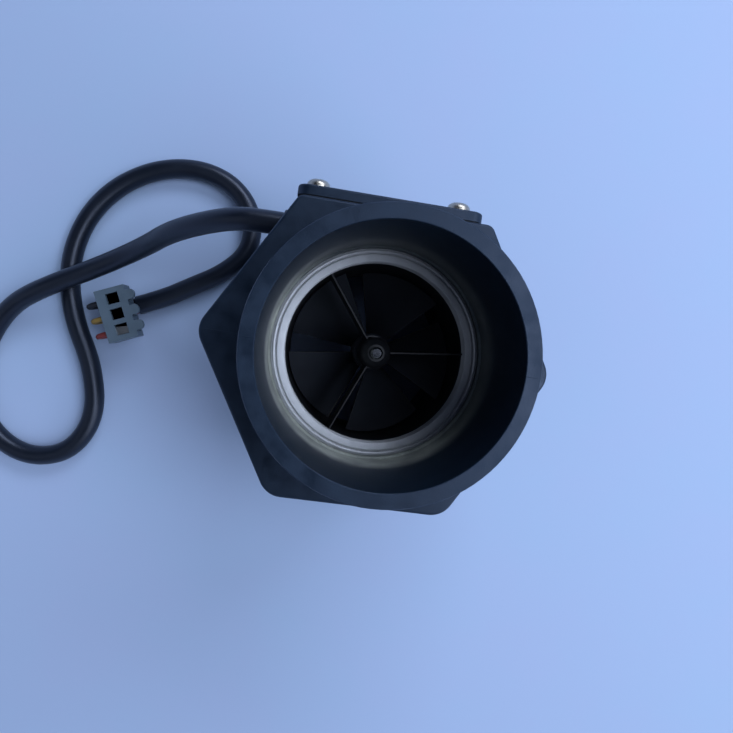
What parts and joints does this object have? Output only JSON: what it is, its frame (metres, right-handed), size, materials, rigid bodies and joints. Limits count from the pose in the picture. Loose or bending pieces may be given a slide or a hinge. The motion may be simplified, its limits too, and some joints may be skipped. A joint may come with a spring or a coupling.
{
  "type": "water flow sensor",
  "caption": "In-line turbine water flow sensor with a hexagonal moulded body, threaded pipe ends, a steel retaining ring, a spinning rotor, a screwed sensor cover and a lead with a plug.",
  "frame": {"origin": "centre of the outlet end face, on the pipe axis, at the level that the sensor stands on", "axes": "+Z along the pipe axis from the outlet to the inlet, +X towards the side where the lead leaves, -Y towards the screwed sensor cover"},
  "size_m": [0.1698, 0.1087, 0.096],
  "materials": {
    "housing_nylon": "moulded glass-filled nylon, dull with a soft sheen",
    "ring_steel": "turned stainless steel",
    "guide_nylon": "moulded, satin",
    "rotor_nylon": "moulded, satin",
    "shaft_steel": "ground stainless steel",
    "bush_polymer": "turned bearing polymer",
    "washer_polymer": "punched sheet",
    "magnet_ferrite": "sintered ferrite, coated",
    "cover_nylon": "moulded, dull",
    "gasket_rubber": "punched sheet rubber",
    "screw_steel": "stainless steel",
    "board_laminate": "green solder mask",
    "chip_body": "moulded epoxy",
    "grommet_rubber": "moulded rubber",
    "lead_jacket": "extruded PVC jacket, semi-gloss",
    "core_red": "extruded insulation",
    "core_black": "extruded insulation",
    "core_yellow": "extruded insulation",
    "plug_nylon": "moulded natural nylon",
    "terminal_tin": "tin-plated strip"
  },
  "bodies": {
    "body": {"housing": "housing_nylon", "retaining_ring": "ring_steel", "turbine_cage": "guide_nylon", "inlet_guide": "guide_nylon", "rotor_shaft": "shaft_steel", "outlet_washer": "washer_polymer", "inlet_washer": "washer_polymer", "sensor_cover": "cover_nylon", "cover_gasket": "gasket_rubber", "cover_screws": "screw_steel", "board_screws": "screw_steel", "sensor_board": "board_laminate", "hall_sensor": "chip_body", "board_capacitor": "chip_body", "board_resistor": "chip_body", "lead_grommet": "grommet_rubber", "lead": "lead_jacket", "board_core_1": "core_red", "board_core_2": "core_yellow", "board_core_3": "core_black", "plug_housing": "plug_nylon", "plug_terminals": "terminal_tin", "plug_core_1": "core_red", "plug_core_2": "core_yellow", "plug_core_3": "core_black"},
    "rotor": {"rotor": "rotor_nylon", "rotor_magnets": "magnet_ferrite", "inlet_bush": "bush_polymer", "outlet_bush": "bush_polymer"}
  },
  "joints": [
    {"name": "rotor_spin", "type": "hinge", "parent": "body", "child": "rotor", "pos_m": [0, 0, 0.044], "axis": [0, 0, 1], "continuous": true}
  ]
}
